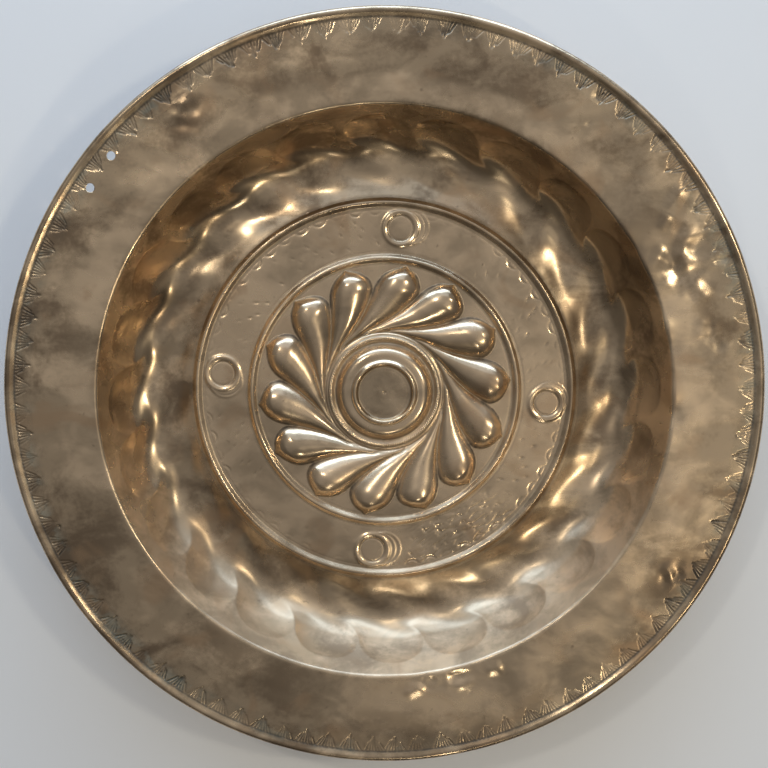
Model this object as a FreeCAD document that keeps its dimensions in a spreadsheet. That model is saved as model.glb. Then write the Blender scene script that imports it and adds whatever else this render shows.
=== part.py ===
import FreeCAD, Part
import math
import os
import re

import Sketcher
from FreeCAD import Placement, Rotation, Vector

# A hammered brass alms dish: one sheet, raised from behind, with its edge rolled over an iron wire.
# Origin at the middle of the dish on the plane it rests on, +Z up out of the well, millimetres.

os.makedirs("parts", exist_ok=True)
doc = FreeCAD.newDocument("alms_dish")

ARC_CENTRE = 3
START = 1
END = 2
ORIGIN = -1
UPRIGHT_AXIS = -2

# ---------------------------------------------------------------------------------------------
# Driving dimensions, in millimetres and degrees
# ---------------------------------------------------------------------------------------------

DIMENSIONS = [
    ("sheet_gauge", 1.0),
    # Rolled edge and the wire in it
    ("overall_radius", 210.0),
    ("overall_height", 42.0),
    ("wire_radius", 1.5),
    ("wire_clearance", 0.1),
    ("wire_gap_angle", 0.6),
    ("roll_wrap_angle", 62.0),
    ("roll_groove_radius", 1.0),
    # Rim and well
    ("rim_outer_height", 40.4),
    ("rim_inner_height", 38.8),
    ("well_edge_radius", 161.3),
    ("well_edge_bend", 2.6),
    ("trough_outer_radius", 137.2),
    ("trough_outer_bend", 9.0),
    ("trough_inner_radius", 131.0),
    ("trough_inner_bend", 30.0),
    # Flat field and its two rings
    ("field_height", 5.0),
    ("ring_foot_bend", 0.7),
    ("ring_bend", 1.5),
    ("ring_outer_radius", 109.8),
    ("ring_outer_crest", 6.8),
    ("ring_outer_foot", 3.1),
    ("ring_inner_radius", 77.8),
    ("ring_inner_crest", 6.6),
    ("ring_inner_foot", 2.9),
    # Centre boss and the corded ring round it
    ("cord_radius", 31.6),
    ("cord_crest", 6.9),
    ("cord_bend", 1.4),
    ("cord_foot", 2.7),
    ("boss_groove_radius", 28.9),
    ("boss_groove_height", 5.1),
    ("boss_shoulder_radius", 21.7),
    ("boss_shoulder_height", 10.6),
    ("boss_shoulder_bend", 5.6),
    ("boss_bead_radius", 17.3),
    ("boss_bead_crest", 12.0),
    ("boss_bead_bend", 1.3),
    ("boss_cove_radius", 19.7),
    ("boss_disc_radius", 14.9),
    ("boss_disc_height", 9.6),
    # Spiral lobes
    ("lobe_count", 14),
    ("lobe_start_angle", 4.7),
    # Ridges between the flutes of the well
    ("flute_count", 24),
    ("flute_start_angle", 9.4),
    ("flute_sink", 0.45),
    # Double-ring roundels on the field
    ("roundel_count", 4),
    ("roundel_start_angle", -4.6),
    ("roundel_place_radius", 95.5),
    ("roundel_outer_radius", 10.2),
    ("roundel_inner_radius", 7.7),
    ("roundel_bead_radius", 0.9),
    ("roundel_bead_sink", 0.3),
    # Hanging holes
    ("hole_radius", 2.4),
    ("hole_first_angle", 138.1),
    ("hole_first_place_radius", 197.4),
    ("hole_second_angle", 144.1),
    ("hole_second_place_radius", 195.9),
]

# One spiral lobe, from its tip to its tail. Each station gives the distance from the dish's axis,
# the turn away from the tip, the heading of the lobe's middle line from the tip's radius,
# half the lobe's width and its height over the field.
LOBE_STATIONS = [
    ("tip", 73.0, 0.0, 0.0, 0.8, 0.7),
    ("brow", 70.6, 0.2, 2.0, 6.6, 3.4),
    ("head", 66.6, 0.6, 6.0, 11.4, 5.5),
    ("crown", 60.6, 1.6, 13.0, 12.9, 6.3),
    ("neck", 49.9, 8.0, 30.0, 8.3, 5.2),
    ("waist", 44.0, 15.0, 35.0, 5.9, 4.2),
    ("tail", 38.6, 27.5, 40.0, 2.9, 2.5),
    ("end", 36.8, 38.0, 44.0, 1.0, 1.1),
]
HOLLOW_STATIONS = ["brow", "head", "crown", "neck", "waist"]

# One ridge between two flutes, from the wall of the well to the floor. Each station gives the
# distance from the dish's axis, the turn, the height of the sheet there, how far the section
# leans in from upright, the skew of the ridge from the radius, half its width and its height
# over the sheet.
RIDGE_STATIONS = [
    ("wall", 152.6, 0.0, 22.8, 66.4, 0.0, 1.2, 0.8),
    ("foot", 148.7, -0.6, 13.8, 66.4, 8.0, 4.0, 1.9),
    ("heel", 145.5, -2.0, 6.5, 66.4, 22.0, 4.5, 2.1),
    ("bend", 143.2, -3.3, 3.3, 41.8, 32.0, 4.6, 2.1),
    ("turn", 139.5, -4.8, 1.3, 14.8, 40.0, 4.5, 2.0),
    ("trough", 134.0, -7.0, 1.0, 0.0, 45.0, 4.1, 1.8),
    ("floor", 125.0, -11.0, 1.6, -11.5, 47.0, 3.2, 1.4),
    ("fade", 116.5, -15.0, 3.9, -15.9, 48.0, 1.4, 0.8),
]

LOBE_FIELDS = ("distance", "turn", "heading", "half_width", "rise")
RIDGE_FIELDS = ("distance", "turn", "level", "lean", "skew", "half_width", "rise")


def make_sheet():
    """The spreadsheet that holds every driving dimension under a plain name."""
    sheet = doc.addObject("Spreadsheet::Sheet", "dims")
    rows = list(DIMENSIONS)
    for name, *sizes in LOBE_STATIONS:
        rows += [(f"lobe_{name}_{field}", size) for field, size in zip(LOBE_FIELDS, sizes)]
    for name, *sizes in RIDGE_STATIONS:
        rows += [(f"ridge_{name}_{field}", size) for field, size in zip(RIDGE_FIELDS, sizes)]
    for row, (alias, value) in enumerate(rows, start=1):
        sheet.set(f"A{row}", alias)
        sheet.set(f"B{row}", str(value))
        sheet.setAlias(f"B{row}", alias)
    doc.recompute()
    return sheet


dims = make_sheet()


def named(expression):
    """The expression with every name that the sheet holds written as dims.name."""
    def qualified(word):
        return f"dims.{word[0]}" if dims.getCellFromAlias(word[0]) else word[0]
    return re.sub(r"[a-z]\w*", qualified, expression)


def value(expression):
    """The number that an expression of sheet names comes to."""
    return float(dims.evalExpression(named(expression)))


def bind(target, path, expression):
    target.setExpression(path, named(expression))


# ---------------------------------------------------------------------------------------------
# Sketch helpers
# ---------------------------------------------------------------------------------------------


def origin_plane(body, role):
    return next(plane for plane in body.Origin.OriginFeatures if plane.Role == role)


def new_sketch(body, name, role):
    sketch = body.newObject("Sketcher::SketchObject", name)
    sketch.AttachmentSupport = [(origin_plane(body, role), "")]
    sketch.MapMode = "FlatFace"
    return sketch


def size_constraint(sketch, kind, where, expression, name):
    """A dimension of a sketch, named and bound to the sheet."""
    sketch.addConstraint(Sketcher.Constraint(kind, *where, value(expression)))
    index = len(sketch.Constraints) - 1
    sketch.renameConstraint(index, name)
    bind(sketch, f"Constraints.{name}", expression)


class Bend:
    """One round stretch of the dish's section: where its centre is, its radius on the front of
    the sheet, and whether the sheet turns up (+1) or down (-1) round it going outwards."""

    def __init__(self, name, x, z, radius, turn):
        self.name = name
        self.x = x
        self.z = z
        self.radius = radius
        self.turn = turn

    def centre(self):
        return Vector(value(self.x), value(self.z), 0)

    def signed(self, behind):
        """Signed radius on the front of the sheet, or one gauge behind it."""
        return self.turn * value(self.radius) + behind


def ring_bends(name):
    """A raised ring of the sheet: foot, crest, foot."""
    foot_z = "field_height + ring_foot_bend"
    inner_x = f"{name}_radius - {name}_foot"
    outer_x = f"{name}_radius + {name}_foot"
    crest_z = f"{name}_crest - ring_bend"
    return [
        Bend(f"{name}_near", inner_x, foot_z, "ring_foot_bend", 1),
        Bend(f"{name}_top", f"{name}_radius", crest_z, "ring_bend", -1),
        Bend(f"{name}_far", outer_x, foot_z, "ring_foot_bend", 1),
    ]


ROLL_RADIUS = "(wire_radius + wire_clearance + sheet_gauge)"
ROLL_X = f"overall_radius - {ROLL_RADIUS}"
ROLL_Z = f"overall_height - {ROLL_RADIUS}"


def dish_bends():
    """The round stretches of the section, from the dish's middle to the rolled edge."""
    disc_z = "boss_disc_height + ring_foot_bend"
    groove_z = "boss_groove_height + ring_foot_bend"
    cord_far_z = "field_height + ring_foot_bend"
    trough_z = "sheet_gauge + trough_inner_bend"
    wall_z = "sheet_gauge + trough_outer_bend"
    edge_z = "rim_inner_height - well_edge_bend"
    groove_x = f"{ROLL_X} - {ROLL_RADIUS} - roll_groove_radius * 0.9"
    rim_z = "rim_outer_height + roll_groove_radius"
    return [
        Bend("disc_edge", "boss_disc_radius", disc_z, "ring_foot_bend", 1),
        Bend("bead", "boss_bead_radius", "boss_bead_crest - boss_bead_bend", "boss_bead_bend", -1),
        Bend("cove", "boss_cove_radius", "boss_shoulder_height + ring_foot_bend", "ring_foot_bend", 1),
        Bend("shoulder", "boss_shoulder_radius", "boss_shoulder_height - boss_shoulder_bend",
             "boss_shoulder_bend", -1),
        Bend("groove", "boss_groove_radius", groove_z, "ring_foot_bend", 1),
        Bend("cord", "cord_radius", "cord_crest - cord_bend", "cord_bend", -1),
        Bend("cord_far", "cord_radius + cord_foot", cord_far_z, "ring_foot_bend", 1),
        *ring_bends("ring_inner"),
        *ring_bends("ring_outer"),
        Bend("trough_near", "trough_inner_radius", trough_z, "trough_inner_bend", 1),
        Bend("trough_far", "trough_outer_radius", wall_z, "trough_outer_bend", 1),
        Bend("well_edge", "well_edge_radius", edge_z, "well_edge_bend", -1),
        Bend("rim_groove", groove_x, rim_z, "roll_groove_radius", 1),
        Bend("roll", ROLL_X, ROLL_Z, ROLL_RADIUS, -1),
    ]


def left_normal(direction):
    return Vector(-direction.y, direction.x, 0)


def shared_tangent(bend, after, behind):
    """The straight stretch between two bends: its start and end."""
    first = bend.centre()
    gap = after.centre() - first
    offset = after.signed(behind) - bend.signed(behind)
    run = math.sqrt(gap.dot(gap) - offset * offset)
    direction = (gap * run - left_normal(gap) * offset) / gap.dot(gap)
    normal = left_normal(direction)
    return first - normal * bend.signed(behind), after.centre() - normal * after.signed(behind)


def roll_end(behind):
    """Where the rolled edge stops, under the rim."""
    roll = dish_bends()[-1]
    angle = math.radians(180 + value("roll_wrap_angle"))
    reach = abs(roll.signed(behind))
    return roll.centre() + Vector(math.cos(angle), math.sin(angle), 0) * reach


def arc_between(bend, start, end, behind):
    """The arc of a bend from start to end, going outwards along the sheet."""
    centre = bend.centre()
    first = math.atan2(start.y - centre.y, start.x - centre.x)
    last = math.atan2(end.y - centre.y, end.x - centre.x)
    circle = Part.Circle(centre, Vector(0, 0, 1), abs(bend.signed(behind)))
    if bend.turn < 0:
        first, last = last, first
    return Part.ArcOfCircle(circle, first, last)


def add_skin(sketch, bends, behind):
    """One side of the sheet as a chain of tangent lines and arcs. Returns the geometry numbers."""
    stretches = [shared_tangent(a, b, behind) for a, b in zip(bends, bends[1:])]
    first_centre = bends[0].centre()
    level = first_centre.y - bends[0].signed(behind)
    stretches.insert(0, (Vector(0, level, 0), Vector(first_centre.x, level, 0)))
    chain = []
    for place, bend in enumerate(bends):
        start, end = stretches[place]
        after = stretches[place + 1][0] if place + 1 < len(stretches) else roll_end(behind)
        chain.append((sketch.addGeometry(Part.LineSegment(start, end)), 1))
        chain.append((sketch.addGeometry(arc_between(bend, end, after, behind)), bend.turn))
    joints = []
    for (before, turn_before), (after, turn_after) in zip(chain, chain[1:]):
        leaving = END if turn_before > 0 else START
        entering = START if turn_after > 0 else END
        joints.append(Sketcher.Constraint("Tangent", before, leaving, after, entering))
    joints.append(Sketcher.Constraint("PointOnObject", chain[0][0], START, UPRIGHT_AXIS))
    joints.append(Sketcher.Constraint("Horizontal", chain[0][0]))
    sketch.addConstraint(joints)
    return [number for number, turn in chain]


def dish_section(body):
    """The sheet's section: front skin, back skin one gauge behind it, and the two ends."""
    sketch = new_sketch(body, "dish_section", "XZ_Plane")
    bends = dish_bends()
    front = add_skin(sketch, bends, 0.0)
    back = add_skin(sketch, bends, value("sheet_gauge"))
    for place, bend in enumerate(bends):
        front_arc = front[2 * place + 1]
        back_arc = back[2 * place + 1]
        sketch.addConstraint(Sketcher.Constraint("Coincident", front_arc, ARC_CENTRE, back_arc, ARC_CENTRE))
        centre = (ORIGIN, 1, front_arc, ARC_CENTRE)
        size_constraint(sketch, "DistanceX", centre, bend.x, f"{bend.name}_x")
        size_constraint(sketch, "DistanceY", centre, bend.z, f"{bend.name}_z")
        size_constraint(sketch, "Radius", (front_arc,), bend.radius, f"{bend.name}_front")
        sign = "+" if bend.turn > 0 else "-"
        back_radius = f"{bend.radius} {sign} sheet_gauge"
        size_constraint(sketch, "Radius", (back_arc,), back_radius, f"{bend.name}_back")
    axis_edge = sketch.addGeometry(
        Part.LineSegment(sketch.getPoint(back[0], START), sketch.getPoint(front[0], START))
    )
    edge_end = sketch.addGeometry(Part.LineSegment(roll_end(0.0), roll_end(value("sheet_gauge"))))
    sketch.addConstraint([
        Sketcher.Constraint("Coincident", axis_edge, START, back[0], START),
        Sketcher.Constraint("Coincident", axis_edge, END, front[0], START),
        Sketcher.Constraint("Coincident", edge_end, START, front[-1], START),
        Sketcher.Constraint("Coincident", edge_end, END, back[-1], START),
        Sketcher.Constraint("PointOnObject", front[-1], ARC_CENTRE, edge_end),
    ])
    size_constraint(sketch, "Angle", (edge_end,), "roll_wrap_angle", "roll_wrap")
    return sketch


# ---------------------------------------------------------------------------------------------
# Features of the dish
# ---------------------------------------------------------------------------------------------


def revolved(body, sketch, name):
    feature = body.newObject("PartDesign::Revolution", name)
    feature.Profile = sketch
    feature.ReferenceAxis = (sketch, ["V_Axis"])
    feature.Angle = 360.0
    sketch.Visibility = False
    doc.recompute()
    return feature


def polar_copies(body, feature, name, count_name):
    """The feature repeated round the dish's axis. Counts only once it is the body's tip."""
    pattern = body.newObject("PartDesign::PolarPattern", name)
    pattern.Originals = [feature]
    pattern.Axis = (next(axis for axis in body.Origin.OriginFeatures if axis.Role == "Z_Axis"), [""])
    pattern.Angle = 360.0
    bind(pattern, "Occurrences", count_name)
    body.Tip = pattern
    doc.recompute()
    return pattern


def place_section(sketch, distance, azimuth, level, lean="0", skew="0"):
    """Stands a section sketch on the sheet, facing the dish's axis.

    distance and azimuth place it round the axis and level is its height. lean tips it towards
    the axis, until its Y stands square to the sheet, and skew then turns it about that Y."""
    bind(sketch, "AttachmentOffset.Base.x", f"{distance} * cos({azimuth})")
    bind(sketch, "AttachmentOffset.Base.z", f"-{distance} * sin({azimuth})")
    bind(sketch, "AttachmentOffset.Base.y", level)
    facing = Rotation(Vector(0, 1, 0), value(azimuth) + 90)
    leaning = Rotation(Vector(1, 0, 0), -value(lean))
    turning = Rotation(Vector(0, 1, 0), value(skew))
    base = sketch.AttachmentOffset.Base
    sketch.AttachmentOffset = Placement(base, facing.multiply(leaning).multiply(turning))


def dome_section(body, name, half_width, rise, sink):
    """A section with a round top: an arc over a straight foot that is sunk into the sheet."""
    sketch = new_sketch(body, name, "XZ_Plane")
    width = value(half_width)
    left_foot = Vector(-width, -value(sink), 0)
    right_foot = Vector(width, -value(sink), 0)
    left = Vector(-width, 0, 0)
    right = Vector(width, 0, 0)
    top = Vector(0, value(rise), 0)
    arc = sketch.addGeometry(Part.Arc(right, top, left))
    left_side = sketch.addGeometry(Part.LineSegment(left, left_foot))
    foot = sketch.addGeometry(Part.LineSegment(left_foot, right_foot))
    right_side = sketch.addGeometry(Part.LineSegment(right_foot, right))
    sketch.addConstraint([
        Sketcher.Constraint("Coincident", arc, END, left_side, START),
        Sketcher.Constraint("Coincident", left_side, END, foot, START),
        Sketcher.Constraint("Coincident", foot, END, right_side, START),
        Sketcher.Constraint("Coincident", right_side, END, arc, START),
        Sketcher.Constraint("Vertical", left_side),
        Sketcher.Constraint("Symmetric", foot, START, foot, END, UPRIGHT_AXIS),
        Sketcher.Constraint("Symmetric", arc, START, arc, END, UPRIGHT_AXIS),
    ])
    size_constraint(sketch, "DistanceX", (foot, START, foot, END), f"2 * {half_width}", "width")
    size_constraint(sketch, "DistanceY", (foot, START, ORIGIN, 1), sink, "sink")
    size_constraint(sketch, "DistanceY", (left_side, END, left_side, START), sink, "side")
    bulge = f"({half_width} ^ 2 + ({rise}) ^ 2) / (2 * ({rise}))"
    size_constraint(sketch, "Radius", (arc,), bulge, "bulge")
    return sketch


def lofted(body, kind, name, sections, ruled=False):
    feature = body.newObject(f"PartDesign::{kind}", name)
    feature.Profile = sections[0]
    feature.Sections = sections[1:]
    feature.Ruled = ruled
    for sketch in sections:
        sketch.Visibility = False
    doc.recompute()
    return feature


def lobe_sections(body, prefix, stations, inset):
    """Sections across one spiral lobe, from tip to tail, inset from its outside."""
    sections = []
    for name in stations:
        station = f"lobe_{name}"
        half_width = f"({station}_half_width - {inset} * sheet_gauge)"
        rise = f"({station}_rise - {inset} * sheet_gauge)"
        sink = "sheet_gauge * 1.5" if inset else "sheet_gauge * 0.5"
        sketch = dome_section(body, f"{prefix}_{name}", half_width, rise, sink)
        azimuth = f"(lobe_start_angle + {station}_turn)"
        skew = f"-{station}_heading - {station}_turn"
        place_section(sketch, f"{station}_distance", azimuth, "field_height", skew=skew)
        sections.append(sketch)
    return sections


def ridge_sections(body):
    """Sections across one ridge between two flutes, from the wall to the floor."""
    sections = []
    for name, *_ in RIDGE_STATIONS:
        station = f"ridge_{name}"
        half_width = f"{station}_half_width"
        sketch = dome_section(body, station, half_width, f"{station}_rise", "flute_sink")
        azimuth = f"(flute_start_angle + {station}_turn)"
        place_section(sketch, f"{station}_distance", azimuth, f"{station}_level",
                      f"{station}_lean", f"{station}_skew")
        sections.append(sketch)
    return sections


def roundel_section(body):
    """Two small beads, turned about the roundel's own middle."""
    sketch = new_sketch(body, "roundel_section", "XZ_Plane")
    for name in ("roundel_outer", "roundel_inner"):
        middle = Vector(value(f"{name}_radius"), -value("roundel_bead_sink"), 0)
        bead = sketch.addGeometry(Part.Circle(middle, Vector(0, 0, 1), value("roundel_bead_radius")))
        centre = (ORIGIN, 1, bead, ARC_CENTRE)
        size_constraint(sketch, "DistanceX", centre, f"{name}_radius", f"{name}_x")
        size_constraint(sketch, "DistanceY", centre, "-roundel_bead_sink", f"{name}_z")
        size_constraint(sketch, "Radius", (bead,), "roundel_bead_radius", f"{name}_bead")
    place_section(sketch, "roundel_place_radius", "roundel_start_angle", "field_height")
    return sketch


def hanging_holes(body):
    """Two round holes side by side through the rim, drilled straight down."""
    sketch = new_sketch(body, "hole_circles", "XY_Plane")
    for name in ("hole_first", "hole_second"):
        angle = math.radians(value(f"{name}_angle"))
        reach = value(f"{name}_place_radius")
        middle = Vector(reach * math.cos(angle), reach * math.sin(angle), 0)
        circle = sketch.addGeometry(Part.Circle(middle, Vector(0, 0, 1), value("hole_radius")))
        centre = (ORIGIN, 1, circle, ARC_CENTRE)
        across = f"{name}_place_radius * cos({name}_angle)"
        along = f"{name}_place_radius * sin({name}_angle)"
        size_constraint(sketch, "DistanceX", centre, across, f"{name}_x")
        size_constraint(sketch, "DistanceY", centre, along, f"{name}_y")
        size_constraint(sketch, "Radius", (circle,), "hole_radius", f"{name}_bore")
    pocket = body.newObject("PartDesign::Pocket", "hanging_holes")
    pocket.Profile = sketch
    pocket.Type = "ThroughAll"
    pocket.Midplane = True
    sketch.Visibility = False
    doc.recompute()
    return pocket


def must_change(body, what, before, grows):
    """Stops the script if a feature added nothing or cut nothing."""
    after = body.Shape.Volume
    change = after - before if grows else before - after
    if change <= 0:
        raise RuntimeError(f"{what} changed the volume by {after - before:.1f} mm3")
    print(f"{what}: volume {before:.0f} -> {after:.0f} mm3")
    return after


def make_dish():
    """The brass sheet with everything raised or struck in it."""
    body = doc.addObject("PartDesign::Body", "dish_sheet")
    body.Label = "dish_sheet"
    revolved(body, dish_section(body), "raised_sheet")
    volume = must_change(body, "raised sheet", 0.0, True)

    lobe_names = [name for name, *_ in LOBE_STATIONS]
    lobe = lofted(body, "AdditiveLoft", "lobe", lobe_sections(body, "lobe", lobe_names, 0))
    polar_copies(body, lobe, "lobes", "lobe_count")
    volume = must_change(body, "lobes", volume, True)
    hollow = lofted(body, "SubtractiveLoft", "lobe_hollow",
                    lobe_sections(body, "hollow", HOLLOW_STATIONS, 1))
    polar_copies(body, hollow, "lobe_hollows", "lobe_count")
    volume = must_change(body, "hollows behind the lobes", volume, False)

    ridge = lofted(body, "AdditiveLoft", "flute_ridge", ridge_sections(body), ruled=True)
    polar_copies(body, ridge, "flute_ridges", "flute_count")
    volume = must_change(body, "ridges between the flutes", volume, True)

    roundel = revolved(body, roundel_section(body), "roundel")
    polar_copies(body, roundel, "roundels", "roundel_count")
    volume = must_change(body, "roundels", volume, True)

    hanging_holes(body)
    must_change(body, "hanging holes", volume, False)
    body.Placement = Placement()
    return body


def make_edge_wire():
    """The iron wire hoop inside the rolled edge, its two ends just short of meeting."""
    wire = doc.addObject("Part::Torus", "edge_wire")
    wire.Label = "edge_wire"
    bind(wire, "Radius1", ROLL_X)
    bind(wire, "Radius2", "wire_radius")
    bind(wire, "Angle3", "360 - wire_gap_angle")
    wire.Placement = Placement(Vector(0, 0, value(ROLL_Z)), Rotation())
    bind(wire, "Placement.Base.z", ROLL_Z)
    return wire


def check_and_export(subparts):
    """Stops on any failed object or bad shape, then writes one STEP file for each sub-part."""
    doc.recompute()
    for item in doc.Objects:
        if "Invalid" in item.State or "Error" in item.State:
            raise RuntimeError(f"{item.Label} failed: {item.State}")
    for item in subparts:
        shape = item.Shape
        if shape.isNull() or not shape.isValid() or len(shape.Solids) != 1:
            raise RuntimeError(f"{item.Label} is not one valid solid")
    for item in subparts:
        item.Shape.exportStep(f"parts/{item.Label}.step")
        box = item.Shape.BoundBox
        print(f"{item.Label}: {item.Shape.Volume:.0f} mm3, x {box.XMin:.2f} to {box.XMax:.2f},"
              f" z {box.ZMin:.2f} to {box.ZMax:.2f}")


check_and_export([make_dish(), make_edge_wire()])
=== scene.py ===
import math

import bpy
import numpy as np
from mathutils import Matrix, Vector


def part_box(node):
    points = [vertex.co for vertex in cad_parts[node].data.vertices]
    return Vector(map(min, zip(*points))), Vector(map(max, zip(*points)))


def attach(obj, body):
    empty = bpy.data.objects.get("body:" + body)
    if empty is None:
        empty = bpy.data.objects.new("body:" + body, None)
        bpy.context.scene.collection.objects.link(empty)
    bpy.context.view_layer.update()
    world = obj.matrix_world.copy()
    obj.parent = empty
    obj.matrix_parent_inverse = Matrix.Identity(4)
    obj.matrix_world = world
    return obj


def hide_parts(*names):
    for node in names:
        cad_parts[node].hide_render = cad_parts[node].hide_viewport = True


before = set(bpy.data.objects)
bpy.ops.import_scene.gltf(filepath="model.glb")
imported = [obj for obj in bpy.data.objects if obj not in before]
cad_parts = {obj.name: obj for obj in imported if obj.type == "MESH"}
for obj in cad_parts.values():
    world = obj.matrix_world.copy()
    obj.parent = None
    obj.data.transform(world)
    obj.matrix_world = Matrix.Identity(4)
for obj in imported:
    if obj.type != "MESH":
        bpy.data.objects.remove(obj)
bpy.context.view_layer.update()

# A hammered brass alms dish seen almost from above. The CAD gives its box and its edge wire; this
# script raises the sheet itself, front and back, with its hammer work, stamps, wear and patina.
# Lengths are in millimetres up to the point where a mesh is made.

MM = 0.001
SHEET_HIGH = np.array(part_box("dish_sheet")[1]) / MM
WIRE_LOW, WIRE_HIGH = (np.array(corner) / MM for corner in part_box("edge_wire"))

EDGE_RADIUS = float(SHEET_HIGH[0])
RIM_TOP = float(SHEET_HIGH[2])
WIRE_RADIUS = float(WIRE_HIGH[2] - WIRE_LOW[2]) / 2
WIRE_CLEARANCE = 0.1
GAUGE = 1.0
ROLL_RADIUS = WIRE_RADIUS + WIRE_CLEARANCE + GAUGE
FIELD_HEIGHT = 5.0

# Where things lie on the sheet, as distances from the dish's axis
DISC_EDGE = 14.9
BOSS_BEAD = 17.3
BOSS_COVE = 19.7
BOSS_SHOULDER = 21.7
BOSS_GROOVE = 28.9
CORD_RING = 31.6
LOBE_TAIL, LOBE_TIP = 34.8, 74.4
INNER_RING = 77.8
BAND_MIDDLE = 94.0
ROUNDEL_PLACE = 95.5
OUTER_RING = 109.8
FLUTE_TAIL = 112.4
TROUGH_INNER, TROUGH_OUTER = 129.0, 131.4
WELL_EDGE = 161.3
ROLL_PLACE = EDGE_RADIUS - ROLL_RADIUS
ROLL_GROOVE = ROLL_PLACE - ROLL_RADIUS - 0.9

rng = np.random.default_rng(1540)


# ---------------------------------------------------------------------------------------------
# Small numeric helpers
# ---------------------------------------------------------------------------------------------


def smooth_curve(x, stations):
    """A smooth curve through given stations (position, value), with no overshoot."""
    at, values = np.array(stations, float).T
    step = np.diff(at)
    slope = np.diff(values) / step
    flat = slope[1:] * slope[:-1] <= 0
    mean = 2 * slope[1:] * slope[:-1] / np.where(flat, 1.0, slope[1:] + slope[:-1])
    tangent = np.concatenate([[slope[0]], np.where(flat, 0.0, mean), [slope[-1]]])
    x = np.clip(x, at[0], at[-1])
    i = np.clip(np.searchsorted(at, x) - 1, 0, len(step) - 1)
    t = (x - at[i]) / step[i]
    rise = values[i + 1] - values[i]
    return (values[i] + rise * t * t * (3 - 2 * t)
            + step[i] * t * (1 - t) * (tangent[i] * (1 - t) - tangent[i + 1] * t))


def fade(x, start, end):
    """0 at start, 1 at end, smooth between them."""
    t = np.clip((x - start) / (end - start), 0.0, 1.0)
    return t * t * (3 - 2 * t)


def hump(x, width):
    """A soft bump one high at 0."""
    return np.exp(-(x / width) ** 2)


def wrap(angle):
    """An angle in degrees, brought to -180 to 180."""
    return (angle + 180.0) % 360.0 - 180.0


TABLES = {}


def rng_table(name, count, spread):
    """A fixed table of small random amounts, drawn once."""
    if name not in TABLES:
        TABLES[name] = rng.uniform(-spread, spread, count)
    return TABLES[name]


LATTICE = 64
LATTICE_TURNS = rng.uniform(0, 2 * math.pi, (LATTICE, LATTICE))
LATTICE_X, LATTICE_Y = np.cos(LATTICE_TURNS), np.sin(LATTICE_TURNS)


def noise(x, y, scale, shift=0.0):
    """Gradient noise of about -1 to 1, with features about scale across."""
    x = x / scale + shift * 7.31
    y = y / scale + shift * 3.77
    xi, yi = np.floor(x).astype(int), np.floor(y).astype(int)
    xf, yf = x - xi, y - yi
    u = xf * xf * xf * (xf * (xf * 6 - 15) + 10)
    v = yf * yf * yf * (yf * (yf * 6 - 15) + 10)

    def corner(dx, dy):
        a, b = (xi + dx) % LATTICE, (yi + dy) % LATTICE
        return LATTICE_X[a, b] * (xf - dx) + LATTICE_Y[a, b] * (yf - dy)

    low = corner(0, 0) * (1 - u) + corner(1, 0) * u
    high = corner(0, 1) * (1 - u) + corner(1, 1) * u
    return 1.5 * (low * (1 - v) + high * v)


def creases(x, y, scale, shift=0.0):
    """Ridged noise: 0 mostly, rising to 1 along sharp winding lines."""
    return (1 - np.abs(noise(x, y, scale, shift))) ** 3


# ---------------------------------------------------------------------------------------------
# The sheet's section, from the middle to the rolled edge
# ---------------------------------------------------------------------------------------------

FOOT_BEND = 0.7
RING_BEND = 1.5
ROLL_WRAP = 62.0
SECTION_STEP = 0.04


def ring_bends(radius, crest, foot):
    """Foot, crest and foot of a raised ring: centre, radius, and +1 where the sheet turns up."""
    foot_z = FIELD_HEIGHT + FOOT_BEND
    return [
        (radius - foot, foot_z, FOOT_BEND, 1),
        (radius, crest - RING_BEND, RING_BEND, -1),
        (radius + foot, foot_z, FOOT_BEND, 1),
    ]


def dish_bends():
    """Every round stretch of the section: centre distance, centre height, radius, turn."""
    shoulder_bend, bead_bend, cord_bend = 5.6, 1.3, 1.4
    disc_height, shoulder_height, groove_height = 9.6, 10.6, 5.1
    bead_crest, cord_crest, cord_foot = 12.0, 6.3, 2.7
    inner_crest, inner_foot = 6.6, 2.9
    outer_crest, outer_foot = 6.8, 3.1
    trough_inner_bend, trough_outer_bend = 30.0, 18.0
    edge_bend, groove_bend = 2.6, 1.0
    rim_inner_height, rim_outer_height = 38.8, RIM_TOP - 1.6
    return [
        (DISC_EDGE, disc_height + FOOT_BEND, FOOT_BEND, 1),
        (BOSS_BEAD, bead_crest - bead_bend, bead_bend, -1),
        (BOSS_COVE, shoulder_height + FOOT_BEND, FOOT_BEND, 1),
        (BOSS_SHOULDER, shoulder_height - shoulder_bend, shoulder_bend, -1),
        (BOSS_GROOVE, groove_height + FOOT_BEND, FOOT_BEND, 1),
        (CORD_RING, cord_crest - cord_bend, cord_bend, -1),
        (CORD_RING + cord_foot, FIELD_HEIGHT + FOOT_BEND, FOOT_BEND, 1),
        *ring_bends(INNER_RING, inner_crest, inner_foot),
        *ring_bends(OUTER_RING, outer_crest, outer_foot),
        (TROUGH_INNER, GAUGE + trough_inner_bend, trough_inner_bend, 1),
        (TROUGH_OUTER, GAUGE + trough_outer_bend, trough_outer_bend, 1),
        (WELL_EDGE, rim_inner_height - edge_bend, edge_bend, -1),
        (ROLL_GROOVE, rim_outer_height + groove_bend, groove_bend, 1),
        (ROLL_PLACE, RIM_TOP - ROLL_RADIUS, ROLL_RADIUS, -1),
    ]


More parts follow.
